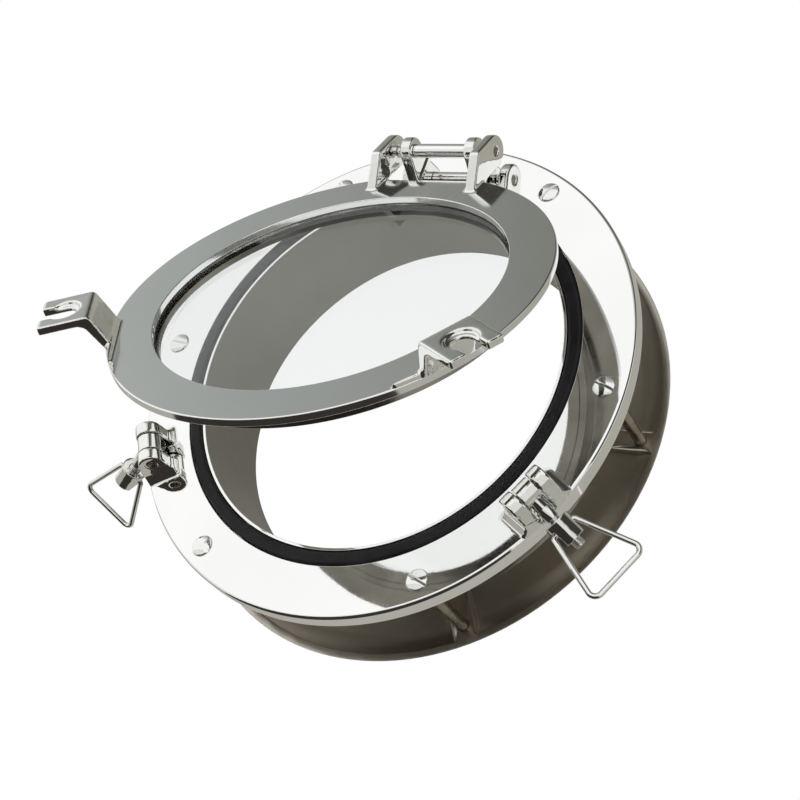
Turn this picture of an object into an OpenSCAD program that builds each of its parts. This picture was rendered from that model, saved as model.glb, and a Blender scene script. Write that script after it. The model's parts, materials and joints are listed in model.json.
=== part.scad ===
// Round porthole window: flanged frame, trim ring and a glazed cover held by two swing bolts.
// X runs right as seen from the room, Y into the wall and Z up to the hinge.
// The origin is the centre of the opening, in the plane of the flange's wall face.
// A clock angle is measured from +X towards +Z. Lengths are in millimetres, angles in degrees.

/* [Frame] */
// Clear opening of the frame
opening_d = 200; // [160:1:240]
// Width of the flange, from the opening to the rim
flange_w = 36.5; // [35.5:0.5:46]
// Thickness of the flange
flange_t = 9; // [7:0.5:14]
// Radius of the rounded front rim
flange_round = 1.8; // [0.5:0.1:3]
// Wall of the spigot that passes through the cut-out
spigot_wall = 3.5; // [2.5:0.1:6]
// Thickness of the wall between the flange and the trim ring
wall_t = 45.3; // [30:0.1:80]

/* [Gasket] */
// Metal left between the opening and the gasket groove
groove_land = 1.5; // [1:0.1:3]
// Width of the gasket groove
groove_w = 8; // [6:0.5:8]
// Depth of the gasket groove
groove_depth = 4; // [3:0.1:6]
// Height that the gasket stands proud of the flange
gasket_proud = 0.8; // [0.4:0.1:1.5]

/* [Frame screws] */
// Diameter of the screws that draw the trim ring to the flange
screw_d = 6; // [5:0.5:7]
// Diameter of the slotted raised heads
screw_head_d = 11.6; // [10:0.1:13]
// Height of the crown of the heads
screw_crown = 1.6; // [1:0.1:2.4]
// Distance from the rim to the screw centres
screw_inset = 11.1; // [9:0.1:12]

/* [Trim ring] */
// Distance that the trim ring stands out beyond the flange
trim_over = 0; // [0:0.1:4]
// Width of the flat lip that meets the wall
trim_lip_w = 4; // [3:0.1:6]
// Height of the crowned back above the lip
trim_crown = 7.3; // [6:0.1:10]
// Thickness of the shell
trim_wall = 2.2; // [1.5:0.1:3]
// Width of the screw pads
trim_pad_w = 12; // [9:0.5:16]

/* [Cover] */
// Width of the cover's ring
cover_w = 22.8; // [22:0.1:26]
// Thickness of the cover's ring
cover_t = 4; // [3.8:0.1:7]
// Radial distance that the cover's ring overlaps the flange
cover_overlap = 11; // [10.8:0.1:14]
// Depth of the collar behind the ring
collar_depth = 11; // [9:0.5:14]
// Wall of the collar
collar_wall = 3.7; // [2.5:0.1:4.5]
// Gap around the collar when the cover is shut
collar_gap = 3; // [2.5:0.1:5]
// Thickness of the glass
glass_t = 8; // [5:0.5:8]
// Angle at which the cover stands open
rest_open = 26.4; // [0:0.1:80]

/* [Hinge] */
// Height of the hinge axis in front of the flange
hinge_h = 12.6; // [12:0.1:16]
// Distance from the rim to the hinge axis
hinge_inset = 11.5; // [10:0.1:12.5]
// Diameter of the hinge pin
hinge_pin_d = 5; // [4:0.1:6]
// Radius of the frame's hinge knuckles
knuckle_r = 7.3; // [6:0.1:8]
// Length of the spacer tube between the frame's lugs
spacer_l = 32.2; // [24:0.1:36]
// Diameter of the spacer tube
spacer_d = 7.5; // [6.8:0.1:9]
// Thickness of each lug of the frame
lug_t = 6.3; // [5:0.1:8]
// Gap between a lug and the ear beside it
ear_gap = 4.4; // [1:0.1:6]
// Thickness of each ear of the cover
ear_t = 5.7; // [4:0.1:7]
// Radius of the ears' heads
ear_r = 8.5; // [7.5:0.1:9.5]

/* [Clamps] */
// Clock angle between the hinge and each clamp
clamp_angle = 120; // [105:1:135]
// Distance from the rim to the axis of the swing bolts' pins
clevis_inset = 9.5; // [8:0.1:10]
// Height of that axis in front of the flange
clevis_h = 11.7; // [11:0.1:14]
// Radius of the clevis ears
clevis_r = 6.8; // [6:0.1:7]
// Thickness of the clevis ears
clevis_t = 7.2; // [4:0.1:8]
// Gap between the clevis ears
clevis_gap = 9.8; // [9:0.1:14]
// Diameter of the clevis pins
clevis_pin_d = 5; // [4:0.1:6]
// Width of the foot under a pair of clevis ears
foot_w = 31; // [30:0.5:36]
// Diameter of the swing bolts' shanks
shank_d = 7; // [6.5:0.1:8]
// Diameter of the swing bolts' threads
thread_d = 6; // [5:0.5:6]
// Length of the swing bolts from the pin's axis
bolt_l = 34; // [34:0.5:42]
// Radius of the swing bolts' eyes
eye_r = 6; // [5:0.1:6.5]
// Angle of the bolts from upright, where they hang outwards
bolt_out = 126; // [100:1:126]
// Distance from the pin's axis to the right nut
nut_at_right = 17.8; // [17.5:0.1:22]
// Distance from the pin's axis to the left nut
nut_at_left = 20.3; // [17.5:0.1:22]
// Diameter of the nut's collar
nut_d = 13.4; // [12:0.1:14]
// Length of the nut's collar
nut_collar = 3.2; // [1.5:0.1:4]
// Length of the nut
nut_l = 11.8; // [10.5:0.1:13]
// Width of the nut across its two flats
nut_flats = 10.4; // [10:0.1:11]
// Width of the slot in each fork
fork_slot = 10.4; // [9:0.1:12]
// Thickness of the fork's arm
fork_t = 4.5; // [3.5:0.1:6]
// Width of the fork
fork_w = 27; // [24:0.5:30]
// Height of the fork in front of the cover
fork_h = 19; // [18.8:0.1:24]
// Distance that the fork's riser leans outwards
fork_lean = 7; // [0:0.5:8]
// Distance that the fork reaches beyond the rim of the flange
fork_reach = 2.5; // [1:0.1:6]

/* [Bails] */
// Diameter of the bail's wire
bail_wire = 2.7; // [2:0.1:2.8]
// Length of the bail from its pivots to the far bar
bail_l = 34; // [22:0.5:40]
// Width of the bail at the far bar
bail_w = 36; // [24:0.5:42]
// Turn of the right nut and tilt of its bail
turn_right = 6; // [-90:1:90]
tilt_right = -24; // [-80:1:80]
// Turn of the left nut and tilt of its bail
turn_left = 45; // [-90:1:90]
tilt_left = 0; // [-80:1:80]

/* [Hidden] */
$fn = 128;
SCREWS = 6;

steel = [0.80, 0.81, 0.80];
satin = [0.62, 0.62, 0.58];
rubber = [0.07, 0.06, 0.07];
clear_glass = [0.82, 0.88, 0.87, 0.35];

eps = 0.01;
fit = 0.05;        // radial clearance of a pin in its hole
loose = 0.3;       // clearance between parts that pass each other

opening_r = opening_d / 2;
flange_r = opening_r + flange_w;
front_y = -flange_t;
spigot_r = opening_r + spigot_wall;
spigot_end = wall_t + 0.7;
groove_r = opening_r + groove_land;

screw_r = flange_r - screw_inset;
head_r = screw_head_d / 2;
head_cone = head_r - screw_d / 2;
crown_r = (head_r * head_r + screw_crown * screw_crown) / (2 * screw_crown);
screw_into_pad = 5.7;
screw_end = wall_t + screw_into_pad;
slot_w = 1.4;
slot_depth = 1.5;
slot_turn = [20, 65, 110, 5, 150, 80];

trim_r = flange_r + trim_over;
trim_bore = spigot_r + loose;
trim_collar_w = 3;
trim_rise = 48;    // slope of the crown where it leaves the lip
trim_fall = 2.5;   // fall of the back from its top to the bore

hinge_y = front_y - hinge_h;
hinge_z = flange_r - hinge_inset;
lug_x = spacer_l / 2;
ear_x = lug_x + lug_t + ear_gap;
pin_recess = 0.9;
lug_toe = 6;       // reach of a lug's foot below its knuckle
lug_heel = 5;      // reach of that foot above the hinge axis
lug_r = knuckle_r - 0.04;
ear_toe = 31;      // distance from the hinge axis to the foot of an ear
ear_bend = 17.5;   // distance to the bend in its front edge
ear_throat = 14;   // distance to the hollow that clears the frame
ear_slope = 5;     // fall of that hollow
ear_sink = 3;      // depth of the foot in the ring

cover_back = front_y - gasket_proud - loose;
cover_front = cover_back - cover_t;
cover_r = opening_r + cover_overlap;
sight_r = cover_r - cover_w;
collar_r = opening_r - collar_gap;
collar_end = cover_back + collar_depth;
glass_r = collar_r - collar_wall - loose;
cover_flat = 10.7; // distance from the knuckles to the flat on the ring's edge
cover_lip = 3.5;
seal_t = 0.5;
glass_front = cover_front + cover_lip + seal_t;
glass_back = glass_front + glass_t;
retainer_w = 6;

clevis_x = flange_r - clevis_inset;
clevis_y = front_y - clevis_h;
ear_in = clevis_gap / 2;
ear_out = ear_in + clevis_t;
foot_h = 4;
right_clock = 90 - clamp_angle;
left_clock = 90 + clamp_angle;

eye_w = clevis_gap - 1;
bolt_point = 0.8;  // chamfer at the bolt's end
thread_from = min(nut_at_left, nut_at_right) - 1.5;
bail_r = bail_wire / 2;
pivot_at = nut_collar + bail_r + loose;
pintle_depth = 1.6;
bail_near = nut_flats / 2 + bail_r + loose;
bend_near = bail_r + 0.7;
bend_far = bail_r + 2.2;
weld_l = 0.4;
weld_proud = 0.04;

fork_front = cover_front - fork_h;
fork_under = fork_front + fork_t;
fork_tip = flange_r + fork_reach;
riser_t = 4.5;
riser_out = cover_r - 0.6;
riser_in = riser_out - riser_t;
seat_r = nut_d / 2 + 1.1;
seat_depth = 2;
boss_l = 14;
boss_h = 2.5;

// Turns a body made along Z so that it runs into the wall
module into_wall() rotate([-90, 0, 0]) children();

// Places a body made with X outwards and Z along the rim at a clock angle
module at_clock(angle) rotate([0, -angle, 0]) children();

// Opens the cover about the hinge
module opened()
    translate([0, hinge_y, hinge_z]) rotate([-rest_open, 0, 0]) translate([0, -hinge_y, -hinge_z])
        children();

// A ring about the axis of the opening, from y0 to y1
module ring(r_in, r_out, y0, y1)
    into_wall() translate([0, 0, y0]) difference() {
        cylinder(r = r_out, h = y1 - y0);
        translate([0, 0, -eps]) cylinder(r = r_in, h = y1 - y0 + 2 * eps);
    }

// A plate along X from x0 to x1, whose outline is drawn with Y and Z
module plate_x(x0, x1)
    translate([x0, 0, 0]) rotate([90, 0, 90]) linear_extrude(x1 - x0) children();

// A plate across Z from z0 to z1, whose outline is drawn with X and Y
module plate_z(z0, z1)
    translate([0, 0, min(z0, z1)]) linear_extrude(abs(z1 - z0)) children();

// A rod along X
module rod_x(r, x0, x1) translate([x0, 0, 0]) rotate([0, 90, 0]) cylinder(r = r, h = x1 - x0, $fn = 64);

// A rod along Z
module rod_z(r, z0, z1) translate([0, 0, z0]) cylinder(r = r, h = z1 - z0, $fn = 64);

// Points of a rounded front rim of radius r, from the face at y to the side at rim
function rim_round(rim, y, r) =
    [for (a = [90:-15:0]) [rim - r + r * cos(a), y + r - r * sin(a)]];

// ---------------------------------------------------------------- frame

module hinge_lug()
    plate_x(lug_x, lug_x + lug_t) union() {
        translate([hinge_y, hinge_z]) circle(r = knuckle_r);
        polygon([[front_y + eps, hinge_z - knuckle_r - lug_toe], [front_y + eps, hinge_z + lug_heel],
                 [hinge_y + lug_r * cos(74), hinge_z + lug_r * sin(74)],
                 [hinge_y + lug_r * cos(232), hinge_z + lug_r * sin(232)]]);
    }

module clevis()
    intersection() {
        difference() {
            union() {
                for (side = [0, 1]) mirror([0, 0, side]) plate_z(ear_in, ear_out) union() {
                    translate([clevis_x, clevis_y]) circle(r = clevis_r, $fn = 64);
                    polygon([[clevis_x - clevis_r - 1, front_y + eps], [clevis_x - clevis_r, clevis_y],
                             [clevis_x + clevis_r, clevis_y], [flange_r, clevis_y + clevis_r],
                             [flange_r, front_y + flange_round]]);
                }
                translate([clevis_x - clevis_r - 2, 0, 0]) rotate([0, 90, 0])
                    linear_extrude(flange_r - clevis_x + clevis_r + 2)
                    polygon([[-foot_w / 2, front_y + eps], [foot_w / 2, front_y + eps],
                             [ear_out, front_y - foot_h], [-ear_out, front_y - foot_h]]);
            }
            translate([clevis_x - clevis_r - 5, front_y - foot_h - 1, -ear_in])
                cube([flange_w, foot_h + 1, clevis_gap]);
            translate([clevis_x, clevis_y, 0]) rod_z(clevis_pin_d / 2 + fit, -ear_out - 1, ear_out + 1);
        }
        into_wall() translate([0, 0, front_y - 30]) cylinder(r = flange_r, h = 31);
    }

module screw_hole()
    translate([screw_r, front_y, 0]) into_wall() {
        translate([0, 0, -1]) cylinder(r = screw_d / 2 + 0.25, h = flange_t + 2);
        translate([0, 0, -eps]) cylinder(r1 = head_r + eps, r2 = screw_d / 2, h = head_cone + eps);
    }

module frame_casting() color(steel)
    difference() {
        union() {
            into_wall() rotate_extrude() polygon([
                [opening_r, front_y], each rim_round(flange_r, front_y, flange_round), [flange_r, 0],
                [spigot_r, 0], [spigot_r, spigot_end], [opening_r, spigot_end]]);
            for (side = [0, 1]) mirror([side, 0, 0]) hinge_lug();
            for (clock = [left_clock, right_clock]) at_clock(clock) clevis();
        }
        ring(groove_r, groove_r + groove_w, front_y - 1, front_y + groove_depth);
        for (i = [1:SCREWS]) at_clock(60 * (i - 1)) screw_hole();
        translate([0, hinge_y, hinge_z]) rod_x(hinge_pin_d / 2 + fit, -lug_x - lug_t - 1, lug_x + lug_t + 1);
    }

module gasket() color(rubber)
    ring(groove_r + 0.2, groove_r + groove_w - 0.2, front_y - gasket_proud, front_y + groove_depth);

// Points of the crowned back: an arc from the lip's edge to the crown, then a gentle fall to the bore.
// The arc is drawn down by inset, which gives the inner face of the shell.
function crown_line(inset) =
    let (arc_r = trim_crown / (1 - cos(trim_rise)), drawn_r = arc_r - inset,
         top_r = trim_r - arc_r * sin(trim_rise), top_y = wall_t + trim_crown)
    concat([for (a = [trim_rise:-6:0]) [top_r + drawn_r * sin(a), top_y - arc_r + drawn_r * cos(a)]],
           [[trim_bore, top_y - inset - trim_fall]]);

module trim_envelope()
    into_wall() rotate_extrude() polygon(concat(
        [[trim_bore, wall_t], [trim_r, wall_t]], crown_line(0)));

module trim_hollow()
    into_wall() rotate_extrude() intersection() {
        polygon(concat([[trim_bore, wall_t - 1], [trim_r, wall_t - 1]], crown_line(trim_wall)));
        translate([trim_bore + trim_collar_w, wall_t - 1])
            square([trim_r - trim_lip_w - trim_bore - trim_collar_w, trim_crown + 2]);
    }

module counter_flange() color(satin)
    difference() {
        union() {
            difference() {
                trim_envelope();
                trim_hollow();
            }
            intersection() {
                trim_envelope();
                for (i = [1:SCREWS]) at_clock(60 * (i - 1))
                    translate([trim_bore + 1, wall_t, -trim_pad_w / 2])
                        cube([trim_r - trim_lip_w - trim_bore, trim_crown, trim_pad_w]);
            }
        }
        for (i = [1:SCREWS]) at_clock(60 * (i - 1)) translate([screw_r, wall_t - 1, 0]) into_wall()
            cylinder(r = screw_d / 2 + fit, h = screw_into_pad + 1 + loose, $fn = 64);
    }

module frame_screw(i) color(steel)
    at_clock(60 * (i - 1)) translate([screw_r, front_y, 0]) into_wall() difference() {
        union() {
            cylinder(r1 = head_r - fit, r2 = screw_d / 2 - fit, h = head_cone, $fn = 64);
            cylinder(r = screw_d / 2, h = screw_end - front_y, $fn = 64);
            intersection() {
                translate([0, 0, crown_r - screw_crown]) sphere(r = crown_r);
                translate([0, 0, -screw_crown]) cylinder(r = head_r - fit, h = screw_crown, $fn = 64);
            }
        }
        rotate(slot_turn[i - 1]) translate([-head_r, -slot_w / 2, -screw_crown - 1])
            cube([screw_head_d, slot_w, slot_depth + 1]);
    }

module hinge_pin() color(steel)
    translate([0, hinge_y, hinge_z])
        rod_x(hinge_pin_d / 2, -ear_x - ear_t + pin_recess, ear_x + ear_t - pin_recess);

module hinge_spacer() color(steel)
    translate([0, hinge_y, hinge_z]) difference() {
        rod_x(spacer_d / 2, 0.1 - lug_x, lug_x - 0.1);
        rod_x(hinge_pin_d / 2 + fit, -lug_x, lug_x);
    }

module clevis_pin(clock) color(steel)
    at_clock(clock) translate([clevis_x, clevis_y, 0]) rod_z(clevis_pin_d / 2, -ear_out, ear_out);

// ---------------------------------------------------------------- cover

module cover_ear()
    plate_x(ear_x, ear_x + ear_t) difference() {
        union() {
            translate([hinge_y, hinge_z]) circle(r = ear_r);
            polygon([[cover_front, hinge_z - ear_toe], [hinge_y - ear_r + 0.2, hinge_z - ear_bend],
                     [hinge_y - ear_r, hinge_z], [hinge_y + ear_r, hinge_z],
                     [hinge_y + ear_r, hinge_z - ear_throat],
                     [cover_front + ear_sink, hinge_z - ear_throat - ear_slope],
                     [cover_front + ear_sink, hinge_z - ear_toe]]);
        }
        translate([hinge_y, hinge_z]) circle(r = hinge_pin_d / 2 + fit, $fn = 64);
    }

// A fork stands on the ring and leans outwards; its foot runs on along the rim towards the bottom
module fork(side)
    difference() {
        union() {
            plate_z(-fork_w / 2, fork_w / 2) polygon([
                [riser_in, cover_front + 1], [riser_in + fork_lean - 0.5, fork_front + 1.5],
                [riser_in + fork_lean + 1, fork_front], [fork_tip, fork_front], [fork_tip, fork_under],
                [riser_out + fork_lean + 2, fork_under], [riser_out + fork_lean - 1, fork_under + 2],
                [riser_out, cover_front + 1]]);
            intersection() {
                plate_z(-side * (fork_w / 2 + boss_l), side * (fork_w / 2 - 1)) polygon([
                    [riser_in, cover_front + 1], [riser_in + 0.8, cover_front - boss_h],
                    [cover_r + 1, cover_front - boss_h], [cover_r + 1, cover_front + 1]]);
                into_wall() translate([0, 0, cover_front - boss_h - 1])
                    cylinder(r = cover_r - 0.2, h = boss_h + 3);
            }
        }
        translate([clevis_x, fork_front - 1, 0]) into_wall() {
            cylinder(r = fork_slot / 2, h = fork_t + 2, $fn = 64);
            cylinder(r = seat_r, h = seat_depth + 1, $fn = 64);
        }
        translate([clevis_x, fork_front - 1, -fork_slot / 2]) cube([fork_tip, fork_t + 2, fork_slot]);
    }

module cover_ring() color(steel)
    opened() difference() {
        union() {
            into_wall() rotate_extrude() polygon([
                [sight_r, cover_front], [cover_r - 0.8, cover_front], [cover_r, cover_front + 0.8],
                [cover_r, cover_back], [collar_r, cover_back], [collar_r, collar_end],
                [collar_r - collar_wall, collar_end], [collar_r - collar_wall, cover_front + cover_lip],
                [sight_r, cover_front + cover_lip]]);
            for (side = [0, 1]) mirror([side, 0, 0]) cover_ear();
            at_clock(right_clock) fork(1);
            at_clock(left_clock) fork(-1);
        }
        // flat along the ring's edge, clear of the frame's lugs
        translate([-ear_x, cover_front - 1, hinge_z - knuckle_r - cover_flat])
            cube([2 * ear_x, cover_t + 2, cover_flat + knuckle_r]);
    }

module glass_pane() color(clear_glass) opened() ring(0, glass_r, glass_front, glass_back);

module glass_seal() color(rubber)
    opened() ring(sight_r + 0.2, glass_r, cover_front + cover_lip, glass_front);

module glass_retainer() color(steel)
    opened() ring(glass_r - retainer_w, glass_r + 0.2, glass_back, collar_end);

// ---------------------------------------------------------------- clamps

// Places a body made about the pin's axis with the bolt along X
module on_bolt(clock)
    at_clock(clock) translate([clevis_x, clevis_y, 0]) rotate([0, 0, bolt_out - 90]) children();

module swing_bolt(clock) color(steel)
    on_bolt(clock) difference() {
        union() {
            rod_z(eye_r, -eye_w / 2, eye_w / 2);
            rod_x(shank_d / 2, 0, thread_from);
            rod_x(thread_d / 2, thread_from, bolt_l - bolt_point);
            translate([bolt_l - bolt_point, 0, 0]) rotate([0, 90, 0])
                cylinder(r1 = thread_d / 2, r2 = thread_d / 2 - bolt_point, h = bolt_point, $fn = 64);
        }
        rod_z(clevis_pin_d / 2 + fit, -eye_w, eye_w);
    }

module clamp_nut(clock, at, turn) color(steel)
    on_bolt(clock) translate([at, 0, 0]) rotate([-turn, 0, 0]) difference() {
        union() {
            rod_x(nut_d / 2, 0, nut_collar);
            intersection() {
                rod_x(nut_d / 2, nut_collar - eps, nut_l);
                translate([0, -nut_d, -nut_flats / 2]) cube([nut_l, nut_d * 2, nut_flats]);
            }
        }
        rod_x(thread_d / 2 + fit, -1, nut_l + 1);
        for (side = [0, 1]) mirror([0, 0, side]) translate([pivot_at, 0, 0])
            rod_z(bail_r + fit, nut_flats / 2 - pintle_depth - 0.2, nut_flats);
    }

// A straight length of wire between two points of the XZ plane
module wire_run(from, to, r = bail_r)
    translate([from.x, 0, from.y]) rotate([0, 90 - atan2(to.y - from.y, to.x - from.x), 0])
        cylinder(r = r, h = norm(to - from), $fn = 48);

// A bend of the wire at the corner, where it comes from one point and leaves to another
module wire_bend(from, corner, to, bend_r)
    let (u = (from - corner) / norm(from - corner), v = (to - corner) / norm(to - corner),
         angle = acos(u * v), centre = corner + (u + v) / norm(u + v) * bend_r / sin(angle / 2),
         start = corner + u * bend_r / tan(angle / 2) - centre,
         finish = corner + v * bend_r / tan(angle / 2) - centre,
         first = start.x * finish.y - start.y * finish.x > 0 ? start : finish)
    translate([centre.x, 0, centre.y]) rotate([90, 0, 0]) rotate(atan2(first.y, first.x))
        rotate_extrude(angle = 180 - angle) translate([bend_r, 0]) circle(r = bail_r, $fn = 48);

// A short sleeve, barely proud of the wire, that joins a run to a bend
module wire_weld(point, along)
    wire_run(point - along * weld_l / 2, point + along * weld_l / 2, bail_r + weld_proud);

// Length that a bend takes from each of the two runs that meet at a corner
function bend_take(from, corner, to, bend_r) =
    bend_r / tan(acos((from - corner) * (to - corner) / (norm(from - corner) * norm(to - corner))) / 2);

module bail_handle(clock, at, turn, tilt) color(steel)
    on_bolt(clock) translate([at, 0, 0]) rotate([-turn, 0, 0])
    translate([pivot_at, 0, 0]) rotate([0, 0, tilt]) {
        tip = [0, nut_flats / 2 - pintle_depth];
        near = [0, bail_near];
        far = [bail_l, bail_w / 2 - bail_r];
        middle = [bail_l, 0];
        along = (far - near) / norm(far - near);
        take_near = bend_take(tip, near, far, bend_near);
        take_far = bend_take(near, far, middle, bend_far);
        for (side = [0, 1]) mirror([0, 0, side]) {
            wire_run(tip, near - [0, take_near]);
            wire_weld(near - [0, take_near], [0, 1]);
            wire_bend(tip, near, far, bend_near);
            wire_weld(near + along * take_near, along);
            wire_run(near + along * take_near, far - along * take_far);
            wire_weld(far - along * take_far, along);
            wire_bend(near, far, middle, bend_far);
            wire_weld(far - [0, take_far], [0, 1]);
            wire_run(far - [0, take_far], middle - [0, eps]);
        }
    }

frame_casting();
gasket();
counter_flange();
for (i = [1:SCREWS]) frame_screw(i);
hinge_pin();
hinge_spacer();
clevis_pin(left_clock);  // clevis_pin_left
clevis_pin(right_clock);  // clevis_pin_right
cover_ring();
glass_pane();
glass_seal();
glass_retainer();
swing_bolt(left_clock);  // swing_bolt_left
swing_bolt(right_clock);  // swing_bolt_right
clamp_nut(left_clock, nut_at_left, turn_left);  // clamp_nut_left
clamp_nut(right_clock, nut_at_right, turn_right);  // clamp_nut_right
bail_handle(left_clock, nut_at_left, turn_left, tilt_left);  // bail_handle_left
bail_handle(right_clock, nut_at_right, turn_right, tilt_right);  // bail_handle_right
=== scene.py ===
import json
import math

import bmesh
import bpy
from mathutils import Matrix, Quaternion, Vector


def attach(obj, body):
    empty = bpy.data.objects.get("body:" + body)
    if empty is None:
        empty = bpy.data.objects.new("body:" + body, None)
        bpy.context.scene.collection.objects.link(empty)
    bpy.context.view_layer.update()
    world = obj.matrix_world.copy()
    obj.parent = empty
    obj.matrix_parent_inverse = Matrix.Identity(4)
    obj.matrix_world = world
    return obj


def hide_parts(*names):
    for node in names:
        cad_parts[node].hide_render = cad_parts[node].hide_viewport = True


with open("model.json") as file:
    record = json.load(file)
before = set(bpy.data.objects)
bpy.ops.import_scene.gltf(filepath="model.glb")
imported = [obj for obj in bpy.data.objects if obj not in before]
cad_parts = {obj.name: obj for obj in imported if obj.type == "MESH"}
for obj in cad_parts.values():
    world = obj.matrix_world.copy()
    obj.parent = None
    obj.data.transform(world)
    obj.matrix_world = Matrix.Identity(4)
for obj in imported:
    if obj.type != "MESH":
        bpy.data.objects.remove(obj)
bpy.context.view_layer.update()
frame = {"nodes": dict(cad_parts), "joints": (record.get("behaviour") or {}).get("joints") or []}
scene = bpy.context.scene
print("frame loaded:", len(frame["nodes"]), "nodes")

# places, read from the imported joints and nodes
joints = {j["name"]: j for j in frame["joints"]}
mm = 0.001  # the pieces' own sizes are in millimetres
weld = dict(cad=0.00001, own=0.000002)  # points nearer than this, in metres, are joined


def jointPlace(name):
    # a joint's place and its direction
    return Vector(joints[name]["pos_m"]), Vector(joints[name]["axis"]).normalized()


def frameFrom(origin, xAxis, zAxis):
    # a placement whose X and Z run along two given directions
    x = xAxis.normalized()
    z = (zAxis - zAxis.dot(x) * x).normalized()
    y = z.cross(x)
    turn = Matrix((x, y, z)).transposed().to_4x4()
    return Matrix.Translation(origin) @ turn


# shader helpers
def addNode(tree, kind, place, **settings):
    node = tree.nodes.new(kind)
    node.location = place
    for key, value in settings.items():
        if key in node.inputs:
            node.inputs[key].default_value = value
        else:
            setattr(node, key, value)
    return node


def blankMaterial(name):
    material = bpy.data.materials.new(name)
    material.use_nodes = True
    tree = material.node_tree
    tree.nodes.clear()
    output = addNode(tree, "ShaderNodeOutputMaterial", (900, 0))
    shader = addNode(tree, "ShaderNodeBsdfPrincipled", (600, 0))
    tree.links.new(shader.outputs[0], output.inputs[0])
    return material, tree, shader


def stretchedNoise(tree, stretch, scale, detail, place, roughness=0.55):
    # noise on object coordinates, drawn out along the axes by stretch
    coordinate = addNode(tree, "ShaderNodeTexCoord", (place[0] - 500, place[1]))
    mapping = addNode(tree, "ShaderNodeMapping", (place[0] - 300, place[1]))
    mapping.inputs["Scale"].default_value = stretch
    noise = addNode(
        tree, "ShaderNodeTexNoise", place, Scale=scale, Detail=detail, Roughness=roughness,
    )
    tree.links.new(coordinate.outputs["Object"], mapping.inputs["Vector"])
    tree.links.new(mapping.outputs[0], noise.inputs["Vector"])
    return noise


def ranged(tree, source, low, high, place, fromLow=0.3, fromHigh=0.7):
    node = addNode(tree, "ShaderNodeMapRange", place)
    node.inputs["From Min"].default_value = fromLow
    node.inputs["From Max"].default_value = fromHigh
    node.inputs["To Min"].default_value = low
    node.inputs["To Max"].default_value = high
    tree.links.new(source, node.inputs["Value"])
    return node.outputs[0]


def blended(tree, factor, colourA, colourB, place):
    node = addNode(tree, "ShaderNodeMix", place, data_type="RGBA")
    node.inputs[6].default_value = (*colourA, 1)
    node.inputs[7].default_value = (*colourB, 1)
    tree.links.new(factor, node.inputs["Factor"])
    return node.outputs[2]


def bumped(tree, height, strength, distance, place, below=None):
    node = addNode(tree, "ShaderNodeBump", place, Strength=strength, Distance=distance)
    tree.links.new(height, node.inputs["Height"])
    if below:
        tree.links.new(below, node.inputs["Normal"])
    return node.outputs[0]


def steel(name, look):
    # metal with drifting tone and polish, slow waves from buffing and a fine grain
    material, tree, shader = blankMaterial(name)
    shader.inputs["Metallic"].default_value = 1
    drift = stretchedNoise(tree, (1, 1, 1), look["driftScale"], 3, (-300, 200))
    grain = stretchedNoise(tree, look["grainStretch"], look["grainScale"], 4, (-300, -100))
    waves = stretchedNoise(tree, (1, 1, 1), look["waveScale"], 1, (-300, -400))
    tone = ranged(tree, drift.outputs[0], 0, 1, (-100, 200))
    colour = blended(tree, tone, look["light"], look["dark"], (150, 200))
    tree.links.new(colour, shader.inputs["Base Color"])
    rough = ranged(tree, grain.outputs[0], look["polish"][0], look["polish"][1], (150, -50))
    tree.links.new(rough, shader.inputs["Roughness"])
    slow = bumped(tree, waves.outputs[0], look["waveStrength"], look["waveHeight"], (150, -400))
    fine = bumped(
        tree, grain.outputs[0], look["grainStrength"], look["grainHeight"], (370, -250), slow,
    )
    tree.links.new(fine, shader.inputs["Normal"])
    return material


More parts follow.
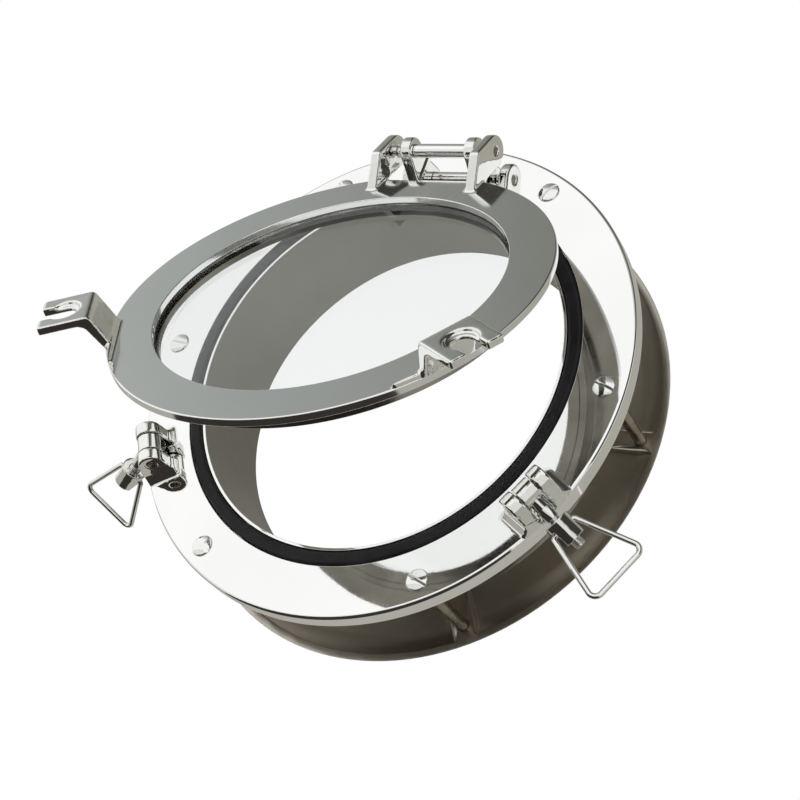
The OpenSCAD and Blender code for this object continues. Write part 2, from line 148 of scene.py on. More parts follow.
steelLooks = {
    "mirrorSteel": dict(
        light=(0.97, 0.97, 0.96), dark=(0.92, 0.92, 0.91), driftScale=14, polish=(0.025, 0.06),
        grainStretch=(1, 1, 1), grainScale=700, grainStrength=0.04, grainHeight=0.00002,
        waveScale=22, waveStrength=0.3, waveHeight=0.0005,
    ),
    "castSteel": dict(
        light=(0.91, 0.91, 0.89), dark=(0.80, 0.80, 0.77), driftScale=40, polish=(0.04, 0.10),
        grainStretch=(1, 1, 1), grainScale=900, grainStrength=0.08, grainHeight=0.00002,
        waveScale=150, waveStrength=0.35, waveHeight=0.00035,
    ),
    "coverSteel": dict(
        light=(0.93, 0.94, 0.93), dark=(0.87, 0.88, 0.87), driftScale=11, polish=(0.07, 0.12),
        grainStretch=(1, 1, 1), grainScale=620, grainStrength=0.07, grainHeight=0.00002,
        waveScale=16, waveStrength=0.16, waveHeight=0.0004,
    ),
    # darker back steel for the cover's back and the glass retainer: an unpolished finish, darkened
    # further as painted shade for the gap facing the flange
    "shadedBackSteel": dict(
        light=(0.52, 0.508, 0.47), dark=(0.34, 0.332, 0.305), driftScale=34, polish=(0.12, 0.24),
        grainStretch=(0.2, 1, 1), grainScale=900, grainStrength=0.07, grainHeight=0.00002,
        waveScale=60, waveStrength=0.25, waveHeight=0.0004,
    ),
    # turned steel for the spigot's bore: a turned finish, darkened as painted shade inside the tube
    "shadedTurnedSteel": dict(
        light=(0.33, 0.325, 0.295), dark=(0.24, 0.236, 0.21), driftScale=9, polish=(0.30, 0.44),
        grainStretch=(0.03, 1, 0.03), grainScale=2600, grainStrength=0.22, grainHeight=0.00003,
        waveScale=12, waveStrength=0.1, waveHeight=0.0003,
    ),
    "satinSteel": dict(
        light=(0.62, 0.59, 0.53), dark=(0.54, 0.51, 0.455), driftScale=26, polish=(0.28, 0.42),
        grainStretch=(1, 0.6, 1), grainScale=1500, grainStrength=0.25, grainHeight=0.00004,
        waveScale=30, waveStrength=0.2, waveHeight=0.0004,
    ),
    # screw shanks and threads behind the flange: the dark brown tone is painted shade for the gap
    # between flange and trim ring
    "shadedShankSteel": dict(
        light=(0.44, 0.38, 0.30), dark=(0.24, 0.20, 0.15), driftScale=60, polish=(0.20, 0.36),
        grainStretch=(1, 0.1, 1), grainScale=2400, grainStrength=0.2, grainHeight=0.00003,
        waveScale=60, waveStrength=0.1, waveHeight=0.0002,
    ),
    # dark steel for the pins' ends: painted shade for the pin holes, where a recessed end would
    # otherwise shine
    "shadedPinSteel": dict(
        light=(0.30, 0.27, 0.22), dark=(0.12, 0.10, 0.08), driftScale=90, polish=(0.22, 0.40),
        grainStretch=(1, 1, 1), grainScale=1800, grainStrength=0.2, grainHeight=0.00003,
        waveScale=90, waveStrength=0.1, waveHeight=0.0002,
    ),
}
finish = {name: steel(name, look) for name, look in steelLooks.items()}

rubberLook = dict(
    colour=(0.009, 0.008, 0.009), bloom=(0.022, 0.019, 0.021), polish=(0.34, 0.55), shine=0.2,
)
sealantLook = dict(
    colour=(0.10, 0.098, 0.088), bloom=(0.15, 0.147, 0.132), polish=(0.34, 0.50), shine=0.3,
)
pores = dict(driftScale=70, scale=2600, strength=0.3, depth=0.00004)


def rubberMaterial(name, look):
    # black or grey rubber with a faint bloom and fine pores
    material, tree, shader = blankMaterial(name)
    shader.inputs["Specular IOR Level"].default_value = look["shine"]
    drift = stretchedNoise(tree, (1, 1, 1), pores["driftScale"], 5, (-300, 200))
    fine = stretchedNoise(tree, (1, 1, 1), pores["scale"], 3, (-300, -200))
    worn = ranged(tree, drift.outputs[0], 0, 1, (-100, 200))
    colour = blended(tree, worn, look["colour"], look["bloom"], (150, 200))
    tree.links.new(colour, shader.inputs["Base Color"])
    rough = ranged(tree, drift.outputs[0], *look["polish"], (150, 0))
    tree.links.new(rough, shader.inputs["Roughness"])
    dimpled = bumped(tree, fine.outputs[0], pores["strength"], pores["depth"], (370, -200))
    tree.links.new(dimpled, shader.inputs["Normal"])
    return material


glassLook = dict(
    colour=(0.93, 0.955, 0.945), ior=1.5, waveScale=40, waveStrength=0.1, waveHeight=0.00004, haze=0.012,
)


def glassMaterial():
    # clear float glass, with the faint waviness that toughening leaves
    material, tree, shader = blankMaterial("glass")
    shader.inputs["Base Color"].default_value = (*glassLook["colour"], 1)
    shader.inputs["Transmission Weight"].default_value = 1
    shader.inputs["IOR"].default_value = glassLook["ior"]
    drift = stretchedNoise(tree, (1, 1, 1), glassLook["waveScale"], 2, (-300, 0))
    hazed = ranged(tree, drift.outputs[0], 0, glassLook["haze"], (150, 0))
    tree.links.new(hazed, shader.inputs["Roughness"])
    waves = bumped(
        tree, drift.outputs[0], glassLook["waveStrength"], glassLook["waveHeight"], (370, -200),
    )
    tree.links.new(waves, shader.inputs["Normal"])
    return material


finish["rubber"] = rubberMaterial("rubber", rubberLook)
finish["sealant"] = rubberMaterial("sealant", sealantLook)
finish["glass"] = glassMaterial()
print("finishes made:", ", ".join(sorted(finish)))


# mesh helpers
def newObject(name, mesh):
    obj = bpy.data.objects.new(name, mesh)
    scene.collection.objects.link(obj)
    return obj


def paint(obj, *names):
    obj.data.materials.clear()
    for name in names:
        obj.data.materials.append(finish[name])


def paintWhere(obj, slotIndex, test):
    # gives one of the object's materials to the faces whose centres pass the test
    for face in obj.data.polygons:
        if test(face.center):
            face.material_index = slotIndex


def evaluated(obj, name, place=None):
    # the object's final mesh as a plain object, set in its place; the maker is removed
    bpy.context.view_layer.update()
    graph = bpy.context.evaluated_depsgraph_get()
    final = obj.evaluated_get(graph)
    mesh = bpy.data.meshes.new_from_object(final, preserve_all_data_layers=True, depsgraph=graph)
    old = obj.data
    bpy.data.objects.remove(obj)
    if old.users == 0:
        bpy.data.meshes.remove(old)
    mesh.name = name
    if place:
        mesh.transform(place)
    return newObject(name, mesh)


def seat(obj, body, slotName, *nodes):
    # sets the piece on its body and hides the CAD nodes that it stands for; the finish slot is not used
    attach(obj, body)
    if nodes:
        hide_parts(*nodes)


def joined(name, *parts):
    # one object from several, each keeping its own finish
    mesh = bpy.data.meshes.new(name)
    work = bmesh.new()
    finishes = []
    for part in parts:
        first = len(work.faces)
        work.from_mesh(part.data)
        work.faces.ensure_lookup_table()
        slots = []
        for material in part.data.materials:
            if material not in finishes:
                finishes.append(material)
            slots.append(finishes.index(material))
        for face in work.faces[first:]:
            face.material_index = slots[face.material_index]
    work.to_mesh(mesh)
    work.free()
    for material in finishes:
        mesh.materials.append(material)
    for part in parts:
        bpy.data.objects.remove(part)
    return newObject(name, mesh)


def nodeCopy(node, name):
    mesh = frame["nodes"][node].data.copy()
    mesh.name = name
    work = bmesh.new()
    work.from_mesh(mesh)
    bmesh.ops.remove_doubles(work, verts=work.verts, dist=weld["cad"])
    bmesh.ops.dissolve_degenerate(work, edges=work.edges, dist=weld["cad"])
    for face in work.faces:
        face.smooth = True
    work.to_mesh(mesh)
    work.free()
    return newObject(name + "Maker", mesh)


def boxMaker(low, high, place):
    # a plain box between two corners, used only to cut with
    mesh = bpy.data.meshes.new("cutter")
    work = bmesh.new()
    bmesh.ops.create_cube(work, size=1)
    size = Vector(high) - Vector(low)
    centre = (Vector(high) + Vector(low)) / 2
    fit = place @ Matrix.Translation(centre) @ Matrix.Diagonal((*size, 1))
    bmesh.ops.transform(work, matrix=fit, verts=work.verts)
    work.to_mesh(mesh)
    work.free()
    return newObject("cutter", mesh)


def cutWith(obj, cutter, operation):
    cut = obj.modifiers.new("cut", "BOOLEAN")
    cut.object = cutter
    cut.operation = operation
    cut.solver = "EXACT"


easeShare = 0.5  # how far each smoothing pass moves a point


def castDetail(node, name, look, low=None, high=None, place=Matrix(), sink=(0, 0, 0)):
    # part of a CAD node as a polished casting, with its edges eased and its inside corners filled;
    # sink moves it slightly into the piece that it stands on
    obj = nodeCopy(node, name)
    cutter = None
    if low:
        cutter = boxMaker([c * mm for c in low], [c * mm for c in high], place)
        cutWith(obj, cutter, "INTERSECT")
    remesh = obj.modifiers.new("remesh", "REMESH")
    remesh.mode = "VOXEL"
    remesh.voxel_size = look["voxel"]
    remesh.use_smooth_shade = True
    ease = obj.modifiers.new("ease", "SMOOTH")
    ease.factor = easeShare
    ease.iterations = look["passes"]
    shift = place.to_3x3() @ Vector([c * mm for c in sink])
    casting = evaluated(obj, name, Matrix.Translation(shift))
    if cutter:
        bpy.data.objects.remove(cutter)
    return casting


def castCopy(node, name, look):
    # a CAD node's shape with its edges eased
    obj = nodeCopy(node, name)
    work = bmesh.new()
    work.from_mesh(obj.data)
    bmesh.ops.join_triangles(
        work, faces=work.faces, angle_face_threshold=math.radians(look["flat"]),
        angle_shape_threshold=math.radians(look["corner"]),
    )
    work.to_mesh(obj.data)
    work.free()
    bevel = obj.modifiers.new("ease", "BEVEL")
    bevel.width = look["edge"] * mm
    bevel.segments = look["edgeSteps"]
    bevel.limit_method = "ANGLE"
    bevel.angle_limit = math.radians(look["sharp"])
    bevel.use_clamp_overlap = False
    bevel.miter_outer = "MITER_ARC"
    bevel.harden_normals = True
    return evaluated(obj, name)


# node trees that make shapes
def shapeTree(name, **inputs):
    # an empty tree with named inputs; gives the tree and its two ends
    tree = bpy.data.node_groups.new(name, "GeometryNodeTree")
    tree.is_modifier = True
    tree.interface.new_socket("Geometry", in_out="OUTPUT", socket_type="NodeSocketGeometry")
    tree.interface.new_socket("Geometry", in_out="INPUT", socket_type="NodeSocketGeometry")
    for label, kind in inputs.items():
        tree.interface.new_socket(label, in_out="INPUT", socket_type="NodeSocket" + kind)
    start = addNode(tree, "NodeGroupInput", (-900, 0))
    end = addNode(tree, "NodeGroupOutput", (900, 0))
    return tree, start, end


def useTree(obj, tree, **values):
    modifier = obj.modifiers.new(tree.name, "NODES")
    modifier.node_group = tree
    sockets = [s for s in tree.interface.items_tree if s.in_out == "INPUT"]
    identifiers = {s.name: s.identifier for s in sockets}
    for label, value in values.items():
        modifier[identifiers[label]] = value


def makeRevolveTree():
    # sweeps a profile round a circle, with each corner rounded by its own easing
    tree, start, end = shapeTree(
        "revolve", pathRadius="Float", steps="Int", cornerSteps="Int", finish="Material",
    )
    toCurve = addNode(tree, "GeometryNodeMeshToCurve", (-700, 100))
    easing = addNode(tree, "GeometryNodeInputNamedAttribute", (-700, -150), Name="easing")
    fillet = addNode(tree, "GeometryNodeFilletCurve", (-450, 100), mode="POLY")
    fillet.inputs["Limit Radius"].default_value = True
    path = addNode(tree, "GeometryNodeCurvePrimitiveCircle", (-450, -250))
    sweep = addNode(tree, "GeometryNodeCurveToMesh", (-200, 0))
    shade = addNode(tree, "GeometryNodeSetShadeSmooth", (50, 0))
    realize = addNode(tree, "GeometryNodeRealizeInstances", (300, 0))
    surface = addNode(tree, "GeometryNodeSetMaterial", (550, 0))
    link = tree.links.new
    link(start.outputs["Geometry"], toCurve.inputs["Mesh"])
    link(toCurve.outputs["Curve"], fillet.inputs["Curve"])
    link(easing.outputs["Attribute"], fillet.inputs["Radius"])
    link(start.outputs["cornerSteps"], fillet.inputs["Count"])
    link(start.outputs["pathRadius"], path.inputs["Radius"])
    link(start.outputs["steps"], path.inputs["Resolution"])
    link(path.outputs["Curve"], sweep.inputs["Curve"])
    link(fillet.outputs["Curve"], sweep.inputs["Profile Curve"])
    link(sweep.outputs["Mesh"], shade.inputs["Geometry"])
    link(shade.outputs["Geometry"], realize.inputs["Geometry"])
    link(realize.outputs["Geometry"], surface.inputs["Geometry"])
    link(start.outputs["finish"], surface.inputs["Material"])
    link(surface.outputs["Geometry"], end.inputs["Geometry"])
    return tree


def makeWireTree():
    # bends a wire along a line of points, with its own corner radius at each point
    tree, start, end = shapeTree(
        "wire", wireRadius="Float", sides="Int", cornerSteps="Int", finish="Material",
    )
    toCurve = addNode(tree, "GeometryNodeMeshToCurve", (-700, 100))
    easing = addNode(tree, "GeometryNodeInputNamedAttribute", (-700, -150), Name="easing")
    fillet = addNode(tree, "GeometryNodeFilletCurve", (-450, 100), mode="POLY")
    section = addNode(tree, "GeometryNodeCurvePrimitiveCircle", (-450, -250))
    sweep = addNode(tree, "GeometryNodeCurveToMesh", (-200, 0))
    sweep.inputs["Fill Caps"].default_value = True
    shade = addNode(tree, "GeometryNodeSetShadeSmooth", (50, 0))
    realize = addNode(tree, "GeometryNodeRealizeInstances", (300, 0))
    surface = addNode(tree, "GeometryNodeSetMaterial", (550, 0))
    link = tree.links.new
    link(start.outputs["Geometry"], toCurve.inputs["Mesh"])
    link(toCurve.outputs["Curve"], fillet.inputs["Curve"])
    link(easing.outputs["Attribute"], fillet.inputs["Radius"])
    link(start.outputs["cornerSteps"], fillet.inputs["Count"])
    link(start.outputs["wireRadius"], section.inputs["Radius"])
    link(start.outputs["sides"], section.inputs["Resolution"])
    link(fillet.outputs["Curve"], sweep.inputs["Curve"])
    link(section.outputs["Curve"], sweep.inputs["Profile Curve"])
    link(sweep.outputs["Mesh"], shade.inputs["Geometry"])
    link(shade.outputs["Geometry"], realize.inputs["Geometry"])
    link(realize.outputs["Geometry"], surface.inputs["Geometry"])
    link(start.outputs["finish"], surface.inputs["Material"])
    link(surface.outputs["Geometry"], end.inputs["Geometry"])
    return tree


threadShape = dict(ridge=0.52, ridgeSides=4, turnSteps=28)  # the ridge's radius is a share of the pitch


def makeThreadTree():
    # a screw thread: a pointed ridge wound along Z
    tree, start, end = shapeTree(
        "thread", coreRadius="Float", pitch="Float", length="Float", finish="Material",
    )
    turns = addNode(tree, "ShaderNodeMath", (-700, 100), operation="DIVIDE")
    spiral = addNode(tree, "GeometryNodeCurveSpiral", (-450, 100))
    spiral.inputs["Resolution"].default_value = threadShape["turnSteps"]
    ridge = addNode(tree, "ShaderNodeMath", (-700, -200), operation="MULTIPLY")
    ridge.inputs[1].default_value = threadShape["ridge"]
    section = addNode(tree, "GeometryNodeCurvePrimitiveCircle", (-450, -250))
    section.inputs["Resolution"].default_value = threadShape["ridgeSides"]
    sweep = addNode(tree, "GeometryNodeCurveToMesh", (-200, 0))
    sweep.inputs["Fill Caps"].default_value = True
    realize = addNode(tree, "GeometryNodeRealizeInstances", (300, 0))
    surface = addNode(tree, "GeometryNodeSetMaterial", (550, 0))
    link = tree.links.new
    link(start.outputs["length"], turns.inputs[0])
    link(start.outputs["pitch"], turns.inputs[1])
    link(turns.outputs[0], spiral.inputs["Rotations"])
    link(start.outputs["coreRadius"], spiral.inputs["Start Radius"])
    link(start.outputs["coreRadius"], spiral.inputs["End Radius"])
    link(start.outputs["length"], spiral.inputs["Height"])
    link(start.outputs["pitch"], ridge.inputs[0])
    link(ridge.outputs[0], section.inputs["Radius"])
    link(spiral.outputs["Curve"], sweep.inputs["Curve"])
    link(section.outputs["Curve"], sweep.inputs["Profile Curve"])
    link(sweep.outputs["Mesh"], realize.inputs["Geometry"])
    link(realize.outputs["Geometry"], surface.inputs["Geometry"])
    link(start.outputs["finish"], surface.inputs["Material"])
    link(surface.outputs["Geometry"], end.inputs["Geometry"])
    return tree


def makeScatterTree():
    # sets one fastener on each point, turned by the point's own angle
    tree, start, end = shapeTree("fasteners", fastener="Object", finish="Material")
    turn = addNode(tree, "GeometryNodeInputNamedAttribute", (-700, -150), Name="slotTurn")
    spin = addNode(tree, "ShaderNodeCombineXYZ", (-500, -150))
    source = addNode(tree, "GeometryNodeObjectInfo", (-500, -400))
    place = addNode(tree, "GeometryNodeInstanceOnPoints", (-200, 0))
    realize = addNode(tree, "GeometryNodeRealizeInstances", (300, 0))
    surface = addNode(tree, "GeometryNodeSetMaterial", (550, 0))
    link = tree.links.new
    link(turn.outputs["Attribute"], spin.inputs["Z"])
    link(start.outputs["fastener"], source.inputs["Object"])
    link(start.outputs["Geometry"], place.inputs["Points"])
    link(source.outputs["Geometry"], place.inputs["Instance"])
    link(spin.outputs[0], place.inputs["Rotation"])
    link(place.outputs["Instances"], realize.inputs["Geometry"])
    link(realize.outputs["Geometry"], surface.inputs["Geometry"])
    link(start.outputs["finish"], surface.inputs["Material"])
    link(surface.outputs["Geometry"], end.inputs["Geometry"])
    return tree


revolveTree = makeRevolveTree()
wireTree = makeWireTree()
threadTree = makeThreadTree()
scatterTree = makeScatterTree()
print("node trees made")


def lineMesh(name, points, easings, closed):
    mesh = bpy.data.meshes.new(name)
    edges = [(i, i + 1) for i in range(len(points) - 1)]
    if closed:
        edges.append((len(points) - 1, 0))
    mesh.from_pydata([(x * mm, y * mm, z * mm) for x, y, z in points], edges, [])
    attribute = mesh.attributes.new("easing", "FLOAT", "POINT")
    for item, easing in zip(attribute.data, easings):
        item.value = easing * mm
    return mesh


def outward(mesh):
    # closes the poles and turns every face outwards
    work = bmesh.new()
    work.from_mesh(mesh)
    bmesh.ops.remove_doubles(work, verts=work.verts, dist=weld["own"])
    bmesh.ops.dissolve_degenerate(work, edges=work.edges, dist=weld["own"])
    bmesh.ops.recalc_face_normals(work, faces=work.faces)
    work.to_mesh(mesh)
    work.free()


def weighted(obj):
    # lets the flats set the shading, so that only the eased corners turn it
    normals = obj.modifiers.new("flats", "WEIGHTED_NORMAL")
    normals.mode = "FACE_AREA"
    normals.weight = 100
    normals.keep_sharp = True


def evened(obj):
    # splits the many-sided faces that a cut leaves, and drops any without area
    work = bmesh.new()
    work.from_mesh(obj.data)
    manySided = [face for face in work.faces if len(face.verts) > 4]
    bmesh.ops.triangulate(work, faces=manySided)
    bmesh.ops.dissolve_degenerate(work, edges=work.edges, dist=weld["own"])
    work.to_mesh(obj.data)
    work.free()


def sharpened(obj, angle):
    # marks the edges that turn by more than the angle, in degrees
    work = bmesh.new()
    work.from_mesh(obj.data)
    for edge in work.edges:
        loose = len(edge.link_faces) != 2
        edge.smooth = loose or edge.calc_face_angle() < math.radians(angle)
    work.to_mesh(obj.data)
    work.free()


solidPath = 0.0001  # the circle that a solid piece's profile is swept round: nearly a point


def revolved(name, corners, finishName, place, steps=256, cornerSteps=4, pathRadius=None):
    # corners are (radius, depth, easing) in millimetres; depth runs along +Y before it is placed
    radius = max(c[0] for c in corners) if pathRadius is None else pathRadius
    points = [(r - radius, depth, 0) for r, depth, easing in corners]
    profile = lineMesh(name + "Profile", points, [c[2] for c in corners], True)
    maker = newObject(name + "Maker", profile)
    useTree(
        maker, revolveTree, pathRadius=radius * mm, steps=steps, cornerSteps=cornerSteps,
        finish=finish[finishName],
    )
    shape = evaluated(maker, name, place @ Matrix.Rotation(math.radians(90), 4, "X"))
    outward(shape.data)
    weighted(shape)
    return evaluated(shape, name)


def clockPlace(angle):
    # X outwards and Z along the rim at a clock angle
    return Matrix.Rotation(math.radians(-angle), 4, "Y")


inPlace = Matrix()
hingeAt, hingeAxis = jointPlace("cover_hinge")
restOpen = math.radians(-joints["cover_hinge"]["range_deg"][0])
openTurn = Matrix.Rotation(restOpen, 4, hingeAxis)
openPlace = Matrix.Translation(hingeAt) @ openTurn @ Matrix.Translation(-hingeAt)
clampClock = {"left": 210, "right": -30}


# frame
frameRing = dict(
    openingR=100, flangeR=136.5, flangeT=9, rimRound=1.8, spigotR=103.5, spigotEnd=46,
    grooveIn=101.5, grooveOut=109.5, grooveDepth=4, grooveEdge=0.1, edge=0.35, seatEdge=0.2,
    screws=6, screwCircle=125.4, sinkR=5.85, sinkEnd=2.9, sinkTurn=1.3, sinkSides=64, sinkOver=1,
    steps=320, cornerSteps=6, sharp=36, boreGap=0.05, backGap=0.2,
)
castings = dict(voxel=0.00042, passes=45)
lugBox = dict(
    inner=11, outer=28, front=-46, back=-7.6, low=105, high=134.5, sink=(0, 0.03, -0.03),
)
clevisBox = dict(inner=113.5, outer=138, front=-42, back=-6, half=21, sink=(-0.03, 0.03, 0))


def sinkMaker():
    # the screws' countersinks, used only to cut with
    s = frameRing
    over = s["sinkOver"]
    depth = s["sinkR"] - s["sinkEnd"]
    turn = Matrix.Rotation(math.radians(s["sinkTurn"]), 4, "Z")
    mesh = bpy.data.meshes.new("cutter")
    work = bmesh.new()
    for i in range(s["screws"]):
        centre = Vector((s["screwCircle"], (depth - over) / 2 - s["flangeT"], 0)) * mm
        spot = clockPlace(360 / s["screws"] * i) @ Matrix.Translation(centre)
        spot = spot @ Matrix.Rotation(math.radians(90), 4, "X")
        bmesh.ops.create_cone(
            work, cap_ends=True, segments=s["sinkSides"], radius1=s["sinkEnd"] * mm,
            radius2=(s["sinkR"] + over) * mm, depth=(depth + over) * mm, matrix=spot @ turn,
        )
    work.to_mesh(mesh)
    work.free()
    return newObject("cutter", mesh)


def makeFrame():
    s = frameRing
    front = -s["flangeT"]
    floor = front + s["grooveDepth"]
    corners = [
        (s["openingR"], front, s["seatEdge"]), (s["grooveIn"], front, s["seatEdge"]),
        (s["grooveIn"], floor, s["grooveEdge"]), (s["grooveOut"], floor, s["grooveEdge"]),
        (s["grooveOut"], front, s["edge"]), (s["flangeR"], front, s["rimRound"]),
        (s["flangeR"], 0, s["edge"]), (s["spigotR"], 0, s["edge"]),
        (s["spigotR"], s["spigotEnd"], s["edge"]), (s["openingR"], s["spigotEnd"], s["edge"]),
    ]
    ring = revolved("frameRing", corners, "mirrorSteel", inPlace, s["steps"], s["cornerSteps"])
    cutter = sinkMaker()
    cutWith(ring, cutter, "DIFFERENCE")
    ring = evaluated(ring, "frameRing")
    bpy.data.objects.remove(cutter)
    evened(ring)
    sharpened(ring, s["sharp"])
    weighted(ring)
    ring = evaluated(ring, "frameRing")
    paint(ring, "mirrorSteel", "shadedTurnedSteel", "satinSteel")
    boreEdge = (s["openingR"] + s["boreGap"]) * mm
    backPlane = -s["backGap"] * mm
    frontPlane = (front + s["seatEdge"]) * mm
    # the bore takes the turned steel, whose dark tone is partly painted shade
    paintWhere(ring, 1, lambda c: c.xz.length < boreEdge and c.y > frontPlane)
    paintWhere(ring, 2, lambda c: c.xz.length >= boreEdge and c.y > backPlane)
    seat(ring, "frame", "polished_steel", "frame_casting")
    b = lugBox
    low = (b["inner"], b["front"], b["low"])
    high = (b["outer"], b["back"], b["high"])
    lug = castDetail("frame_casting", "hingeLugRight", castings, low, high, sink=b["sink"])
    paint(lug, "castSteel")
    otherLug = newObject("hingeLugLeft", lug.data.copy())
    otherLug.data.transform(Matrix.Diagonal((-1, 1, 1, 1)))
    outward(otherLug.data)
    for piece in (lug, otherLug):
        seat(piece, "frame", "polished_steel")
    for side, angle in clampClock.items():
        b = clevisBox
        low = (b["inner"], b["front"], -b["half"])
        high = (b["outer"], b["back"], b["half"])
        place = clockPlace(angle)
        name = "clevis." + side
        clevis = castDetail("frame_casting", name, castings, low, high, place, b["sink"])
        paint(clevis, "castSteel")
        seat(clevis, "frame", "polished_steel")


makeFrame()
print("frame cast")

gasketLook = dict(
    inner=101.7, outer=109.3, foot=-5, top=-9.8, crown=2.2, footEdge=0.2, cornerSteps=8,
)


def makeGasket():
    s = gasketLook
    corners = [
        (s["inner"], s["foot"], s["footEdge"]), (s["inner"], s["top"], s["crown"]),
        (s["outer"], s["top"], s["crown"]), (s["outer"], s["foot"], s["footEdge"]),
    ]
    gasket = revolved("gasketRing", corners, "rubber", inPlace, cornerSteps=s["cornerSteps"])
    seat(gasket, "frame", "rubber", "gasket")


makeGasket()

trimLook = dict(edge=0.4, edgeSteps=3, sharp=28, flat=0.6, corner=60)
trim = castCopy("counter_flange", "trimRing", trimLook)
paint(trim, "satinSteel")
seat(trim, "frame", "satin_steel", "counter_flange")
print("gasket and trim ring made")

frameScrew = dict(
    count=6, circleR=125.4, front=-9, end=51, tip=1, tipEdge=0.3,
    headR=5.55, capR=4.6, capSteps=8, crown=1.6, capFall=0.8, shoulder=0.8,
    sideAt=-0.47, sideEnd=0.2, sideEdge=0.1, shankR=3, steps=48, cornerSteps=5,
    slotW=1.4, slotDepth=1.5, slotOver=1.1, slotRise=5, lip=0.14, lipSteps=2, lipSharp=50,
    threadFrom=24, pitch=1.0, satinFrom=41, slotTurns=(20, 65, 110, 5, 150, 80),
)


def threadAlong(name, outer, pitch, start, end, finishName, place):
    # a thread ridge from start to end along the local X
    maker = newObject(name + "Maker", bpy.data.meshes.new(name))
    core = (outer - threadShape["ridge"] * pitch) * mm
    length = (end - start) * mm
    useTree(
        maker, threadTree, coreRadius=core, pitch=pitch * mm, length=length, finish=finish[finishName],
    )
    lay = Matrix.Translation((start * mm, 0, 0)) @ Matrix.Rotation(math.radians(90), 4, "Y")
    shape = evaluated(maker, name, place @ lay)
    outward(shape.data)
    return shape


def screwPlaces():
    # each frame screw's own placement: X outwards from the opening, Y along the screw
    s = frameScrew
    out = Matrix.Translation((s["circleR"] * mm, 0, 0))
    return [clockPlace(360 / s["count"] * i) @ out for i in range(s["count"])]


def makeScrewBody():
    # one slotted raised-head screw, running down from the flange's front
    s = frameScrew
    crownR = (s["capR"] ** 2 + s["capFall"] ** 2) / (2 * s["capFall"])
    reach = math.asin(s["capR"] / crownR)
    dome = []
    for i in range(s["capSteps"] + 1):
        angle = reach * i / s["capSteps"]
        dome.append((crownR * math.sin(angle), crownR - s["crown"] - crownR * math.cos(angle), 0))
    dome.append((s["headR"], s["sideAt"], s["shoulder"]))
    dome.append((s["headR"], s["sideEnd"], s["sideEdge"]))
    cone = s["headR"] - s["shankR"] + s["sideEnd"]
    length = s["end"] - s["front"]
    neck = [(s["shankR"], cone, 0), (s["shankR"], length, s["tipEdge"]), (0, length, 0)]
    body = revolved(
        "screwBody", dome + neck, "castSteel", inPlace, s["steps"], s["cornerSteps"], solidPath,
    )
    half = s["slotW"] / 2
    low = [-s["headR"] * mm * s["slotOver"], -s["slotRise"] * mm, -half * mm]
    high = [s["headR"] * mm * s["slotOver"], (s["slotDepth"] - s["crown"]) * mm, half * mm]
    cutter = boxMaker(low, high, inPlace)
    cutWith(body, cutter, "DIFFERENCE")
    lip = body.modifiers.new("lip", "BEVEL")
    lip.width = s["lip"] * mm
    lip.segments = s["lipSteps"]
    lip.limit_method = "ANGLE"
    lip.angle_limit = math.radians(s["lipSharp"])
    body = evaluated(body, "screwBody", Matrix.Rotation(math.radians(-90), 4, "X"))
    evened(body)
    bpy.data.objects.remove(cutter)
    return body


def makeFrameScrews():
    s = frameScrew
    body = makeScrewBody()
    points = bpy.data.meshes.new("screwPoints")
    places = screwPlaces()
    # the fasteners' tree works with the flange lying in XY
    points.from_pydata([(p.translation.x, p.translation.z, 0) for p in places], [], [])
    turns = points.attributes.new("slotTurn", "FLOAT", "POINT")
    for i, item in enumerate(turns.data):
        item.value = -math.radians(s["slotTurns"][i] + 360 / s["count"] * i)
    maker = newObject("screwsMaker", points)
    useTree(maker, scatterTree, fastener=body, finish=finish["castSteel"])
    upright = Matrix.Translation((0, s["front"] * mm, 0)) @ Matrix.Rotation(math.radians(90), 4, "X")
    screws = evaluated(maker, "screwHeads", upright)
    bpy.data.objects.remove(body)
    paint(screws, "castSteel", "shadedShankSteel", "satinSteel")
    headEnd = (s["front"] + s["headR"] - s["shankR"] + s["sideEnd"]) * mm
    satinFrom = s["satinFrom"] * mm
    # the shanks below the head take the dark shank steel, a painted shade
    paintWhere(screws, 1, lambda c: c.y > headEnd)
    paintWhere(screws, 2, lambda c: c.y > satinFrom)
    turnAlong = Matrix.Rotation(math.radians(90), 4, "Z")
    end = s["end"] - s["tip"]
    nodes = []
    threads = []
    for i, place in enumerate(places):
        number = str(i + 1)
        nodes.append("frame_screw_" + number)
        # the threads take the same shank steel with its painted shade
        threads.append(threadAlong(
            "screwThread." + number, s["shankR"], s["pitch"], s["threadFrom"], end, "shadedShankSteel",
            place @ turnAlong,
        ))
    screws = joined("frameScrews", screws, *threads)
    seat(screws, "frame", "polished_steel", *nodes)


makeFrameScrews()
print("frame screws set")

hingeLook = dict(
    pinR=2.5, pinHalf=31.6, pinDome=0.5, shadedEndFrom=31,
    spacerIn=2.55, spacerOut=3.75, spacerHalf=16, edge=0.3, steps=64,
)
clampPin = dict(radius=2.5, half=12.1, edge=0.35)


def rod(name, radius, half, edge, finishName, place, steps=48, cornerSteps=3):
    # a plain pin with eased ends
    corners = [(0, -half, 0), (radius, -half, edge), (radius, half, edge), (0, half, 0)]
    return revolved(name, corners, finishName, place, steps, cornerSteps, solidPath)


